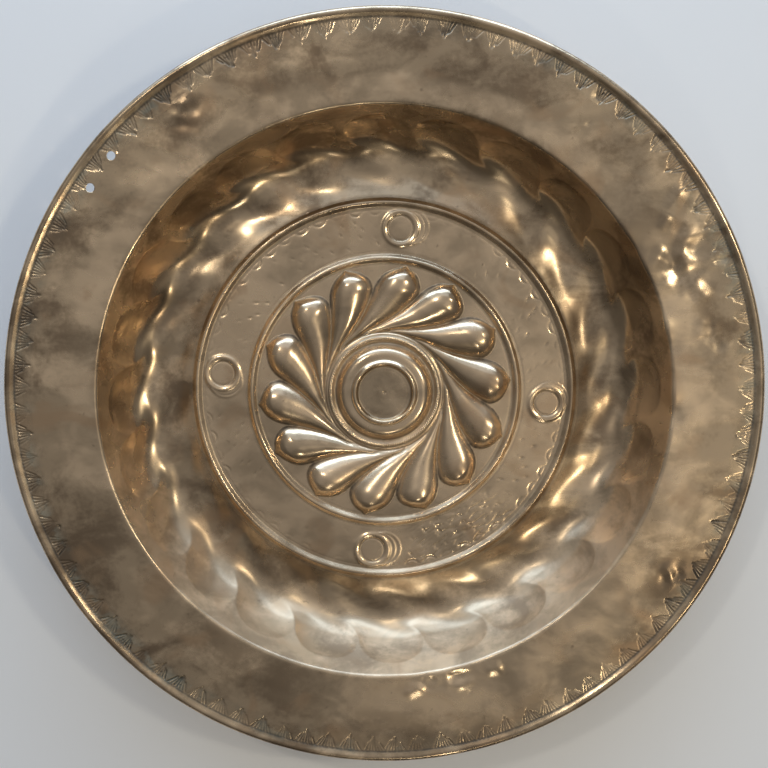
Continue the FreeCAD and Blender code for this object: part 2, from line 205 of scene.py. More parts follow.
def shared_tangent(bend, after):
    """The straight stretch from one bend to the next: its start and its end."""
    (x1, z1, r1, t1), (x2, z2, r2, t2) = bend, after
    gap_x, gap_z = x2 - x1, z2 - z1
    square = gap_x ** 2 + gap_z ** 2
    offset = t2 * r2 - t1 * r1
    run = math.sqrt(square - offset ** 2)
    along_x = (gap_x * run + gap_z * offset) / square
    along_z = (gap_z * run - gap_x * offset) / square
    start = (x1 + along_z * t1 * r1, z1 - along_x * t1 * r1)
    end = (x2 + along_z * t2 * r2, z2 - along_x * t2 * r2)
    return start, end


def fractions(length):
    """Even fractions of a length, from 0 to just under 1, about a section step apart."""
    return np.arange(0, 1, SECTION_STEP / max(length, SECTION_STEP))


def section_line():
    """The front of the section as closely spaced points, with the front's normals."""
    bends = dish_bends()
    disc_x, disc_z, disc_bend, _ = bends[0]
    spans = [((0.0, disc_z - disc_bend), (disc_x, disc_z - disc_bend))]
    spans += [shared_tangent(bend, after) for bend, after in zip(bends, bends[1:])]
    points = []
    for place, (x, z, radius, turn) in enumerate(bends):
        start, end = spans[place]
        for t in fractions(math.dist(start, end)):
            points.append((start[0] + (end[0] - start[0]) * t, start[1] + (end[1] - start[1]) * t))
        first = math.atan2(end[1] - z, end[0] - x)
        if place + 1 < len(bends):
            after = spans[place + 1][0]
            last = math.atan2(after[1] - z, after[0] - x)
        else:
            last = math.radians(ROLL_WRAP - 180)
        sweep = (last - first) % (2 * math.pi) if turn > 0 else -((first - last) % (2 * math.pi))
        for t in fractions(radius * abs(sweep)):
            angle = first + sweep * t
            points.append((x + radius * math.cos(angle), z + radius * math.sin(angle)))
    points = np.array(points)
    tangents = np.gradient(points, axis=0)
    tangents /= np.linalg.norm(tangents, axis=1)[:, None]
    normals = np.stack([-tangents[:, 1], tangents[:, 0]], 1)
    lengths = np.concatenate([[0], np.cumsum(np.linalg.norm(np.diff(points, axis=0), axis=1))])
    return lengths, points, normals


SECTION_AT, SECTION_POINTS, SECTION_NORMALS = section_line()
SECTION_LENGTH = float(SECTION_AT[-1])


def section(at):
    """Distance, height and normal of the section's front at lengths along it."""
    radius = np.interp(at, SECTION_AT, SECTION_POINTS[:, 0])
    height = np.interp(at, SECTION_AT, SECTION_POINTS[:, 1])
    normal_r = np.interp(at, SECTION_AT, SECTION_NORMALS[:, 0])
    normal_z = np.interp(at, SECTION_AT, SECTION_NORMALS[:, 1])
    size = np.hypot(normal_r, normal_z)
    return radius, height, normal_r / size, normal_z / size


def length_at(radius):
    """Length along the section where it first reaches a distance from the axis."""
    return float(SECTION_AT[np.argmax(SECTION_POINTS[:, 0] >= radius)])


ROLL_START = length_at(ROLL_PLACE - ROLL_RADIUS)


# ---------------------------------------------------------------------------------------------
# Raised and struck work, as heights along the sheet's normal
# ---------------------------------------------------------------------------------------------

LOBE_COUNT, LOBE_START = 14, 4.7
LOBE_PITCH = 360.0 / LOBE_COUNT
LOBE_TURN = [(35.0, 44.0), (36.8, 37.0), (38.6, 27.5), (41.0, 20.8), (44.0, 15.0), (49.9, 8.0),
             (56.0, 3.6), (61.6, 1.2), (68.0, 0.3), (75.0, 0.0)]
LOBE_RISE = [(LOBE_TAIL, 0.0), (36.2, 0.8), (38.4, 1.7), (41.0, 2.6), (44.0, 3.4), (50.0, 4.5),
             (56.0, 5.7), (61.5, 6.6), (65.5, 6.3), (69.0, 4.9), (71.4, 3.0), (73.0, 1.6),
             (LOBE_TIP, 0.0)]
LOBE_SHARE = [(56.0, 0.5), (60.0, 0.488), (62.5, 0.466), (65.0, 0.425), (67.3, 0.368), (69.2, 0.30),
              (70.6, 0.235), (71.7, 0.165), (72.5, 0.10), (73.3, 0.05), (LOBE_TIP, 0.016)]
LOBE_FULLNESS = 0.9
LOBE_OUTLINE = 0.5
LOBE_TIP_LEANS = (0.9, -0.5, 1.2, -1.4, 0.4, 1.3, -0.6, 1.1, -1.2, 0.6, -1.0, 1.4, -0.8, 0.3)


def lobes(radius, azimuth):
    """Fourteen plump drops that whirl round the boss: height, and masks for painted shade in the valleys
    between them and on their steep flanks.
    """
    turn = smooth_curve(radius, LOBE_TURN)
    count = (wrap(azimuth - LOBE_START - turn) / LOBE_PITCH) % LOBE_COUNT
    leans = np.array(LOBE_TIP_LEANS)[np.round(count).astype(int) % LOBE_COUNT]
    count = count - leans / LOBE_PITCH * fade(radius, 66.0, 74.0)
    place = (count + 0.5) % 1.0 - 0.5
    share = smooth_curve(radius, LOBE_SHARE)
    across = np.clip(np.abs(place) / share, 0.0, 1.0)
    dome = (1 - across ** 2) ** LOBE_FULLNESS
    inside = (radius > LOBE_TAIL) & (radius < LOBE_TIP)
    height = np.where(inside, smooth_curve(radius, LOBE_RISE) * dome, 0.0)
    aside = (np.abs(place) - share) * np.radians(LOBE_PITCH) * radius
    # The valley and flank masks become painted shade in the brass's colour: dark lines between the lobes
    # and dark outer flanks.
    valley_shade = hump(aside, LOBE_OUTLINE) * fade(radius, 34.5, 37.5) * (1 - fade(radius, 73.2, 74.8))
    shaded_flank = fade(across, 0.76, 0.97) * hump(np.maximum(aside, 0.0), LOBE_OUTLINE) * inside
    return height, valley_shade, shaded_flank * fade(radius, 48.0, 60.0)


FLUTE_COUNT, FLUTE_START = 24, 9.4
FLUTE_PITCH = 360.0 / FLUTE_COUNT
FLUTE_DRIFT = [(111.0, -17.4), (116.5, -15.0), (125.0, -11.0), (134.0, -7.0), (139.5, -4.8),
               (143.2, -3.3), (145.5, -2.0), (148.7, -0.6), (152.6, 0.0)]
FLUTE_DEPTH = [(FLUTE_TAIL, 0.0), (118.0, 0.4), (125.0, 1.0), (132.0, 1.4), (139.0, 1.6), (145.0, 2.2),
               (154.0, 2.5)]
ARCH_FOOT, ARCH_TOP = 147.6, 155.4
ARCH_SQUARENESS = 2.3


def flutes(radius, azimuth):
    """Scallops in the wall of the well that sweep round over its floor."""
    place = ((wrap(azimuth - FLUTE_START - smooth_curve(radius, FLUTE_DRIFT))) / FLUTE_PITCH) % 1.0
    across = np.abs(2 * place - 1)
    depth = smooth_curve(radius, FLUTE_DEPTH)
    up = np.clip((radius - ARCH_FOOT) / (ARCH_TOP - ARCH_FOOT), 0.0, 2.0)
    crisp = np.clip(1 - across ** ARCH_SQUARENESS - up ** ARCH_SQUARENESS, 0.0, 1.0) ** 0.9
    soft = 0.5 + 0.5 * np.cos(math.pi * across)
    sharpness = fade(radius, 141.0, 151.0)
    hollow = crisp * sharpness + soft * (1 - sharpness)
    lift = 1 - fade(radius, 145.0, ARCH_TOP)
    inside = (radius > FLUTE_TAIL) & (radius < WELL_EDGE)
    return np.where(inside, depth * (lift - hollow), 0.0)


# Rings with slanting hatch: distance, strands, twist in radians per millimetre, rise, half width
ROPED_RINGS = [
    (CORD_RING, 144, math.radians(96.0), 0.11, 1.1),
    (OUTER_RING, 420, 1.9, 0.05, 1.3),
    (INNER_RING, 420, 1.9, 0.04, 1.3),
]


def roping(radius, azimuth):
    """Hatch that makes the ring round the boss, and faintly the two field rings, look roped."""
    height = np.zeros_like(radius)
    for ring, strands, twist, rise, width in ROPED_RINGS:
        strand = np.cos(np.radians(azimuth * strands) + (radius - ring) * twist)
        height += rise * strand * hump(radius - ring, width)
    return height


# Distance and rise of each scribed line
SCRIBED_LINES = [(OUTER_RING - 4.3, -0.14), (INNER_RING + 3.9, -0.08), (INNER_RING - 3.6, -0.08),
                 (CORD_RING + 2.4, 0.32), (CORD_RING + 3.5, -0.16), (26.6, -0.05), (13.4, -0.06)]
SCRIBE_WIDTH = 0.45


def scribed_lines(radius):
    """Lines that were scribed beside the rings, on the boss and on its disc."""
    return sum(rise * hump(radius - at, SCRIBE_WIDTH) for at, rise in SCRIBED_LINES)


# Azimuth of each roundel, and how far its second strike was off
ROUNDELS = (355.9, 84.4, 173.5, 265.6)
ROUNDEL_GHOSTS = ((1.6, 1.2), (-3.4, 0.6), (2.2, -1.2), (3.8, -0.8))
ROUNDEL_BAND, ROUNDEL_LINE = 9.6, 8.0
# Each ring of a roundel: distance from its middle, rise, half width
ROUNDEL_RINGS = [(ROUNDEL_BAND, 0.85, 1.35), (ROUNDEL_LINE, 0.25, 0.4), (ROUNDEL_LINE - 0.9, -0.3, 0.45)]
GHOST_RISE, GHOST_WIDTH = 0.34, 0.6


def local(radius, azimuth, at_radius, at_azimuth):
    """Millimetres across and outwards from a place on the sheet."""
    turn = np.radians(wrap(azimuth - at_azimuth))
    return radius * np.sin(turn), radius * np.cos(turn) - at_radius


def roundels(radius, azimuth):
    """Four broad rings on the field, each struck twice and so with faint shifted ghosts."""
    height = np.zeros_like(radius)
    for at, (ghost_x, ghost_y) in zip(ROUNDELS, ROUNDEL_GHOSTS):
        x, y = local(radius, azimuth, ROUNDEL_PLACE, at)
        reach = np.hypot(x, y)
        for at_reach, rise, width in ROUNDEL_RINGS:
            height += rise * hump(reach - at_reach, width)
        for times in (1.0, 1.8):
            ghost = np.hypot(x - ghost_x * times, y - ghost_y * times)
            outside = fade(reach, ROUNDEL_BAND + 0.8, ROUNDEL_BAND + 2.0)
            height += GHOST_RISE * hump(ghost - ROUNDEL_BAND, GHOST_WIDTH) * outside
    return height


def wear_by_angle(azimuth, sectors, low):
    """How well struck work survives round the dish: low everywhere, more in the sectors."""
    kept = np.full_like(azimuth, low)
    for middle, half_angle, amount in sectors:
        kept = np.maximum(kept, amount * (1 - fade(np.abs(wrap(azimuth - middle)), half_angle * 0.6,
                                                   half_angle)))
    return kept


BAND_PITCH = 6.0
BAND_DEPTH, BATTERED_DEPTH = 0.55, 0.22
CRESCENT_OUT, CRESCENT_RADIUS, CRESCENT_CUT_OFF = 13.0, 4.2, 11.4
NICK_ROWS = (85.6, 89.8, 94.0, 98.2)
NICK_SLANT, NICK_SHIFT = 0.6, 3.2
NICK_TABLE = 97
# Where the ornament survives: middle, half angle, how well
BAND_KEPT = [(296.0, 24.0, 1.0), (34.0, 22.0, 0.7), (104.0, 22.0, 0.6), (140.0, 22.0, 0.6),
             (200.0, 20.0, 0.5), (330.0, 16.0, 0.5)]
BATTERED_SECTOR = (298.0, 22.0, 1.0)


def band_ornament(radius, azimuth, x, y):
    """Worn ornament between the rings: crescents, slanting nicks and a battered stretch."""
    kept = wear_by_angle(azimuth, BAND_KEPT, 0.25)
    kept = kept * np.clip(0.8 + 1.2 * noise(x, y, 9.0, 2.0), 0.0, 1.2)
    step = np.floor(azimuth / BAND_PITCH)
    across, out = local(radius, azimuth - step * BAND_PITCH, BAND_MIDDLE, BAND_PITCH / 2)
    crescent = np.hypot(across, out - CRESCENT_OUT) - CRESCENT_RADIUS
    cut = hump(crescent, 0.5) * (out < CRESCENT_CUT_OFF)
    number = (step * 7).astype(int)
    for row, place in enumerate(NICK_ROWS):
        draw = (number + row) % NICK_TABLE
        chance = rng_table(f"nick_{row}", NICK_TABLE, 1.0)[draw]
        side = NICK_SHIFT * rng_table(f"nick_side_{row}", NICK_TABLE, 1.0)[draw]
        rise = radius - place - 1.3 * chance
        nick = hump(across - side - NICK_SLANT * rise, 0.45) * hump(rise, 1.0 + 0.5 * abs(chance))
        cut = np.maximum(cut, nick * (chance > -0.2))
    strokes = noise((x + 0.7 * y) * 0.3, y - 0.7 * x, 2.4, 6.0)
    battered = wear_by_angle(azimuth, [BATTERED_SECTOR], 0.0) * fade(strokes, 0.02, 0.4)
    clear = np.ones_like(radius)
    for at in ROUNDELS:
        clear *= fade(np.hypot(*local(radius, azimuth, ROUNDEL_PLACE, at)), 12.0, 14.5)
    inside = fade(radius, INNER_RING + 3.4, INNER_RING + 5.0)
    inside *= 1 - fade(radius, OUTER_RING - 5.2, OUTER_RING - 4.0)
    return (-BAND_DEPTH * cut * kept - BATTERED_DEPTH * battered) * clear * inside


STAMP_COUNT = 96
STAMP_PITCH = 360.0 / STAMP_COUNT
STAMP_BASE, STAMP_TALL, STAMP_HALF, STAMP_DEPTH = 195.4, 8.9, 6.2, 0.7
# Where the stamps survive: middle, half angle, how well
STAMP_KEPT = [(226.0, 36.0, 1.0), (120.0, 30.0, 0.95), (340.0, 34.0, 0.9), (60.0, 34.0, 0.9),
              (180.0, 30.0, 0.85), (17.0, 30.0, 1.0)]
BUD_ASIDE, BUD_OUT, BUD_WIDTH = 1.4, 6.4, 0.6
STEMS = (-1.0, -0.64, -0.3, 0.0, 0.34, 0.66, 1.0)


def border_stamps(radius, azimuth, x, y):
    """Small fans of stems struck side by side along the rolled edge. Returns height and grime."""
    number = np.floor(azimuth / STAMP_PITCH).astype(int) % STAMP_COUNT
    shift = rng_table("stamp_shift", STAMP_COUNT, 0.7)[number]
    lean = rng_table("stamp_lean", STAMP_COUNT, 0.16)[number]
    strength = 0.85 + rng_table("stamp_strength", STAMP_COUNT, 0.3)[number]
    middle = (np.floor(azimuth / STAMP_PITCH) + 0.5) * STAMP_PITCH
    across, out = local(radius, azimuth, STAMP_BASE, middle)
    out = out + shift
    across = across - lean * out + shift * 0.7
    up = np.clip(out / STAMP_TALL, 0.0, 1.2)
    cut = np.zeros_like(radius)
    for place, stem in enumerate(STEMS):
        weight = 0.75 + rng_table(f"stem_weight_{place}", STAMP_COUNT, 0.4)[number]
        starts = abs(stem) * 0.3 + 0.12 * rng_table(f"stem_start_{place}", STAMP_COUNT, 1.0)[number]
        line = hump(across - stem * STAMP_HALF * (0.16 + 0.84 * up), 0.42)
        line = line * fade(up, starts, starts + 0.12)
        cut = np.maximum(cut, line * weight)
    cut = cut * (1 - fade(up, 0.92, 1.02)) * fade(out, -0.8, 0.2)
    bud = hump(np.hypot(np.abs(across) - BUD_ASIDE, out - BUD_OUT), BUD_WIDTH)
    cut = np.maximum(cut, 0.8 * bud)
    kept = wear_by_angle(azimuth, STAMP_KEPT, 0.65)
    kept = kept * np.clip(0.9 + 0.8 * noise(x, y, 14.0, 5.0), 0.2, 1.2) * strength
    band = fade(radius, STAMP_BASE - 1.5, STAMP_BASE + 0.5) * (1 - fade(radius, 203.6, 204.8))
    return -STAMP_DEPTH * cut * kept * band, np.clip(1.2 * cut + 0.34, 0, 1) * kept * band


# Sharp folds: azimuth, distance, half length, half width, turn from the rim's run, rise
FOLDS = [
    # the crumpled right side
    (34.7, 191.2, 9.0, 4.6, 65.0, 0.65),
    (32.3, 180.1, 6.0, 4.0, 49.0, 0.5),
    (27.5, 168.2, 9.0, 4.6, 52.0, 0.65),
    (27.7, 185.1, 13.0, 6.0, 53.0, 1.05),
    (25.2, 180.4, 9.0, 5.6, 0.0, 0.9),
    (23.4, 173.5, 8.0, 5.4, -5.0, -0.8),
    (23.8, 188.5, 14.0, 4.8, -65.0, 0.85),
    (22.7, 198.0, 8.0, 2.6, -81.0, -0.6),
    (19.1, 182.2, 9.0, 5.4, -23.0, 0.8),
    (10.2, 184.0, 10.0, 5.0, -38.0, -0.5),
    (12.6, 178.0, 8.0, 4.4, 20.0, 0.45),
    # the small crushed spot at the upper left
    (123.7, 192.0, 6.0, 3.8, 0.0, 0.5),
    (123.9, 187.2, 7.0, 3.8, 20.0, -0.5),
    (125.4, 182.4, 8.5, 4.0, 51.0, -0.6),
    # the knocks below the well and at the lower right
    (275.8, 168.4, 8.0, 4.8, -21.0, 0.75),
    (278.5, 165.0, 7.0, 4.0, -35.0, -0.6),
    (285.0, 165.5, 9.0, 4.6, 26.0, -0.7),
    (285.6, 169.0, 7.5, 4.4, -12.0, 0.7),
    (292.0, 167.0, 6.5, 4.6, 10.0, 0.7),
    (328.5, 188.1, 7.0, 4.0, -59.0, 0.65),
    (328.7, 193.0, 5.0, 3.4, 12.0, -0.5),
    (55.0, 199.0, 4.5, 3.4, 0.0, -0.45),
]

# Wide shallow hollows, given the same way
HOLLOWS = [
    (25.0, 181.0, 19.0, 17.0, 0.0, -1.3),
    (124.6, 188.0, 9.0, 8.5, 0.0, 0.7),
    (43.0, 176.0, 14.0, 9.0, 15.0, -0.5),
    (160.0, 176.0, 18.0, 10.0, 10.0, -0.5),
    (205.0, 178.0, 20.0, 11.0, -20.0, -0.6),
    (245.0, 184.0, 16.0, 10.0, 10.0, -0.5),
    (83.0, 178.0, 20.0, 9.0, 5.0, -0.45),
]

# Crumpled patches: azimuth, distance, half angle, half width, how rough
CRUMPLES = [
    (25.0, 180.0, 9.0, 20.0, 0.45),
    (10.0, 182.0, 5.5, 14.0, 0.4),
    (281.0, 166.0, 9.0, 5.0, 0.7),
    (124.5, 188.0, 3.6, 9.0, 0.6),
    (328.5, 190.0, 3.5, 6.0, 0.6),
]


def turned(radius, azimuth, spot):
    """Place in a dent's own frame: 0 at its middle, 1 at its ends and its sides."""
    at, place, along, outwards, turn, _ = spot
    a, b = local(radius, azimuth, place, at)
    c, s = math.cos(math.radians(turn)), math.sin(math.radians(turn))
    return (a * c + b * s) / along, (b * c - a * s) / outwards


def damage(radius, azimuth, x, y):
    """Folds, hollows and crumpled patches from five centuries of knocks."""
    height = np.zeros_like(radius)
    for fold in FOLDS:
        run, side = turned(radius, azimuth, fold)
        facets = np.clip(1.12 - np.sqrt(side ** 2 + 0.02), 0.0, 1.0)
        height += fold[-1] * facets * (1 - fade(np.abs(run), 0.25, 1.0))
    for hollow in HOLLOWS:
        run, side = turned(radius, azimuth, hollow)
        height += hollow[-1] * np.exp(-np.hypot(run, side) ** 2.4)
    for at, place, half_angle, half_width, rough in CRUMPLES:
        reach = np.hypot(wrap(azimuth - at) / half_angle, (radius - place) / half_width)
        patch = 1 - fade(reach, 0.45, 1.1)
        folds = creases(x, y, 22.0, at) + 0.45 * creases(x + y, y - x, 19.0, at + 3)
        height += patch * rough * (folds - 0.75)
    return height


# Hammer marks: size, noise shift, rise everywhere, further rise on the rim
HAMMERING = [(62.0, 1.0, 0.16, 0.34), (21.0, 4.0, 0.05, 0.10), (8.5, 9.0, 0.018, 0.022)]


def hammering(x, y, radius):
    """The soft unevenness of a sheet that was raised and planished by hand."""
    rim = fade(radius, 156.0, 168.0)
    return sum(noise(x, y, size, shift) * (rise + more * rim) for size, shift, rise, more in HAMMERING)


# Waves round the rolled edge: how many, how high, phase
EDGE_WAVES = [(3, 0.5, 0.7), (7, 0.35, 2.0), (13, 0.3, 0.0), (23, 0.25, 1.2), (41, 0.2, 0.4)]
EDGE_INSET, EDGE_PLAY = 0.16, 0.09


def edge_play(azimuth):
    """The rolled edge's own waviness, always inwards."""
    turn = np.radians(azimuth)
    wave = sum(high * np.sin(waves * turn + phase) for waves, high, phase in EDGE_WAVES)
    return -EDGE_INSET - EDGE_PLAY * wave


# Where the well's edge was knocked out of true: middle, half angle, how much
KNOCKED_EDGE = [(12.0, 34.0, 1.0), (285.0, 20.0, 0.5)]
KNOCKED_HEIGHT = 0.32


def wavy_edge(radius, azimuth):
    """Waves in the well's edge, mostly where it was knocked."""
    near = hump(radius - (WELL_EDGE - 1.5), 5.0)
    knocked = wear_by_angle(azimuth, KNOCKED_EDGE, 0.12)
    turn = np.radians(azimuth)
    return near * knocked * KNOCKED_HEIGHT * (np.sin(31 * turn) + 0.7 * np.sin(53 * turn + 1.0))


PUNCH_DEPTH, PUNCH_WIDTH = 0.5, 0.7
PIT_DEPTH, PIT_WIDTH = 0.5, 0.8
PITS = [(161.0, 190.9), (53.7, 184.6), (201.5, 195.7), (286.0, 176.0)]


def punch_marks(radius, azimuth):
    """The centre punch and a few stray pits in the rim."""
    height = -PUNCH_DEPTH * hump(radius, PUNCH_WIDTH)
    for at, place in PITS:
        height -= PIT_DEPTH * hump(np.hypot(*local(radius, azimuth, place, at)), PIT_WIDTH)
    return height


# ---------------------------------------------------------------------------------------------
# The sheet as a mesh
# ---------------------------------------------------------------------------------------------

# Distance and azimuth of each hanging hole
HOLES = [(197.4, 138.1), (195.9, 144.1)]
HOLE_RADIUS = 2.4
DRILL_MIDDLE, DRILL_LENGTH, DRILL_SIDES = 39.6, 8, 64

# Distance from the axis up to which a spacing of rows, in millimetres, and a number of columns hold
FRONT_SPACING = [(27.0, 0.45), (36.0, 0.3), (74.6, 0.5), (81.0, 0.32), (106.0, 0.5), (113.0, 0.32),
                 (144.0, 0.75), (157.0, 0.8), (164.0, 0.45), (193.0, 1.1), (205.2, 0.42)]
ROLL_SPACING = 0.4
FRONT_COLUMNS = [(1.2, 30), (3.0, 60), (7.0, 120), (13.0, 240), (27.0, 480), (192.5, 960),
                 (204.6, 2880)]
FIRST_ROW = 0.9
ROLL_COLUMNS = 960
BACK_COARSER, BACK_FEWEST, BACK_MOST = 2, 60, 960


def pick(table, radius, last):
    """The value of the first entry whose distance is past the radius."""
    return next((value for limit, value in table if radius < limit), last)


def front_rows():
    """Lengths along the section for the front's rows, with each row's number of columns."""
    rows = []
    at = FIRST_ROW
    while at < SECTION_LENGTH - ROLL_SPACING / 2:
        radius = float(section(at)[0])
        on_roll = at > ROLL_START
        spacing = ROLL_SPACING if on_roll else pick(FRONT_SPACING, radius, ROLL_SPACING)
        columns = ROLL_COLUMNS if on_roll else pick(FRONT_COLUMNS, radius, ROLL_COLUMNS)
        rows.append((at, columns))
        at += spacing
    rows.append((SECTION_LENGTH, ROLL_COLUMNS))
    return rows


def back_rows(front):
    """Rows for the back, from the rolled edge in to the middle, coarser than the front's."""
    rows = []
    for place, (at, columns) in enumerate(front):
        if place % BACK_COARSER == 0 or place == len(front) - 1:
            share = BACK_COARSER if columns > BACK_FEWEST else 1
            rows.append((at, min(columns, BACK_MOST) // share))
    return rows[::-1]


# How much of a roundel's rise shows on the back too
ROUNDEL_THROUGH = 0.7


def big_shapes(radius, azimuth, x, y):
    """What shows on both faces of the sheet."""
    height = lobes(radius, azimuth)[0] + flutes(radius, azimuth)
    height += ROUNDEL_THROUGH * roundels(radius, azimuth) + damage(radius, azimuth, x, y)
    return height + hammering(x, y, radius) + wavy_edge(radius, azimuth)


# How brown the patina is at distances from the axis; the high values on the well's floor also paint the
# flutes' shade
PATINA_AND_SHADING = [(0.0, 0.55), (16.0, 0.5), (20.0, 0.05), (27.0, 0.05), (36.0, 0.2), (60.0, 0.12), (78.0, 0.08),
          (106.0, 0.08), (113.0, 0.7), (128.0, 0.85), (137.0, 0.5), (150.0, 0.5), (160.0, 0.4),
          (172.0, 0.4), (186.0, 0.75), (203.0, 0.95), (210.0, 0.8)]
# Where it is browner or brighter: middle, half angle, from and to distance, how much. The patch at 60
# degrees on the floor and the one at 95 degrees on the wall are painted shade, and the one at 90 degrees
# on the boss is a painted highlight on its upper half.
PATINA_AND_SHADING_PATCHES = [(100.0, 80.0, 172.0, 214.0, 0.35), (280.0, 24.0, 158.0, 182.0, -0.5),
                  (60.0, 75.0, 108.0, 140.0, 0.35), (90.0, 90.0, 12.0, 32.0, -0.3),
                  (95.0, 112.0, 134.0, 164.0, 0.5), (225.0, 45.0, 160.0, 208.0, 0.2),
                  (275.0, 40.0, 176.0, 208.0, -0.3)]
# Where the rim is green: middle, half angle, how much
VERDIGRIS_SECTORS = [(142.0, 22.0, 1.0), (215.0, 40.0, 1.0), (255.0, 24.0, 0.8), (20.0, 26.0, 0.9),
                     (178.0, 30.0, 0.7), (345.0, 30.0, 0.6), (55.0, 20.0, 0.6)]

HAZE_LEAST, HAZE_WALL, HAZE_NEAR_WALL = 0.06, 0.08, 0.72
# Azimuth of the wall's stretch towards -Y, where the film is thickest
NEAR_WALL = 268.0
# How far past the roll's start the painted shade in the roll's groove and the verdigris reach, along the
# section
MARKS_PAST_ROLL_START = 1.5
# How far the sheet stays inside the CAD's box
BOX_MARGIN = 0.02

# Painted shade in lines round the dish, in the boss's groove and at the feet of the rings: distance,
# half width, how thick
SHADE_LINES = [
    (BOSS_GROOVE - 0.4, 1.1, 0.7),
    (CORD_RING + 1.3, 0.5, 0.55),
    (INNER_RING - 3.0, 0.8, 0.4),
    (INNER_RING + 3.0, 0.8, 0.4),
    (OUTER_RING - 3.4, 0.9, 0.5),
    (OUTER_RING + 3.4, 0.9, 0.5),
]


def haze_mark(radius, azimuth):
    """How dull the brass is: most on the stretch of the well's wall towards -Y."""
    near_wall = 1 - fade(np.abs(wrap(azimuth - NEAR_WALL)), 30.0, 85.0)
    wall = fade(radius, 132.0, 146.0) * (1 - fade(radius, 158.0, 162.5))
    return HAZE_LEAST + wall * (HAZE_WALL + HAZE_NEAR_WALL * near_wall)


def verdigris_mark(at, radius, azimuth):
    """How green the rim is, in a belt inside the rolled edge."""
    belt = 0.85 * hump(radius - 201.0, 5.0) * (at < ROLL_START + MARKS_PAST_ROLL_START)
    return belt * wear_by_angle(azimuth, VERDIGRIS_SECTORS, 0.25)


def patina_and_shading_mark(radius, azimuth, x, y):
    """How brown the brass is, with painted shade on the well's floor and wall and a painted highlight on
    the boss.
    """
    brown = smooth_curve(radius, PATINA_AND_SHADING) + 0.25 * noise(x, y, 46.0, 12.0)
    for middle, half_angle, low, high, more in PATINA_AND_SHADING_PATCHES:
        sector = 1 - fade(np.abs(wrap(azimuth - middle)), half_angle * 0.5, half_angle)
        brown += more * sector * fade(radius, low, low + 6) * (1 - fade(radius, high - 6, high))
    return np.clip(brown, 0.0, 1.0)


def fine_work(at, radius, azimuth, x, y):
    """What shows only on the front: its height, and the grime and painted shade that lie in it."""
    height = (1 - ROUNDEL_THROUGH) * roundels(radius, azimuth) + roping(radius, azimuth)
    height += scribed_lines(radius) + band_ornament(radius, azimuth, x, y)
    height += punch_marks(radius, azimuth)
    stamped, stamp_grime = border_stamps(radius, azimuth, x, y)
    _, valley_shade, shaded_flank = lobes(radius, azimuth)
    # Painted shade between and beside the lobes, and real grime in the stamps; tarnish on the middle
    # disc follows.
    grime_and_shade = [0.4 * valley_shade, shaded_flank, stamp_grime]
    grime_and_shade += [thick * hump(radius - place, width) for place, width, thick in SHADE_LINES]
    # Painted shade in the groove inside the rolled edge.
    grime_and_shade.append(hump(radius - ROLL_GROOVE - 0.1, 0.8) * (at < ROLL_START + MARKS_PAST_ROLL_START))
    grime_and_shade.append(0.14 * (1 - fade(radius, 13.0, 15.5)))
    return height + stamped, np.maximum.reduce(grime_and_shade)


def place_points(at, azimuth, front):
    """Points of the sheet's front or back face, with their grime and painted shade, verdigris, patina
    with painted shade and highlight, and dullness.
    """
    radius, height, normal_r, normal_z = section(at)
    turn = np.radians(azimuth)
    x, y = at * np.cos(turn), at * np.sin(turn)
    on_roll = fade(at, ROLL_START - 1.5, ROLL_START + 2.0)
    raised = big_shapes(radius, azimuth, x, y)
    grime_and_shade = np.zeros_like(radius)
    haze = haze_mark(radius, azimuth)
    if front:
        fine, grime_and_shade = fine_work(at, radius, azimuth, x, y)
        raised += fine
        haze = np.maximum(haze, 0.3 * lobes(radius, azimuth)[2])
    raised = raised * (1 - on_roll) + edge_play(azimuth) * on_roll
    behind = 0.0 if front else GAUGE
    reach = radius + normal_r * (raised - behind)
    level = height + normal_z * (raised - behind)
    reach = np.clip(reach, 0.0, EDGE_RADIUS - BOX_MARGIN)
    level = np.clip(level, BOX_MARGIN, RIM_TOP - BOX_MARGIN)
    points = np.stack([reach * np.cos(turn), reach * np.sin(turn), level], 1)
    green = verdigris_mark(at, radius, azimuth)
    return points, np.stack([grime_and_shade, green, patina_and_shading_mark(radius, azimuth, x, y), haze], 1)


# Point attributes of the sheet, in the order of place_points' columns
MARKS = ("grime_and_shade", "verdigris", "patina_and_shading", "haze")


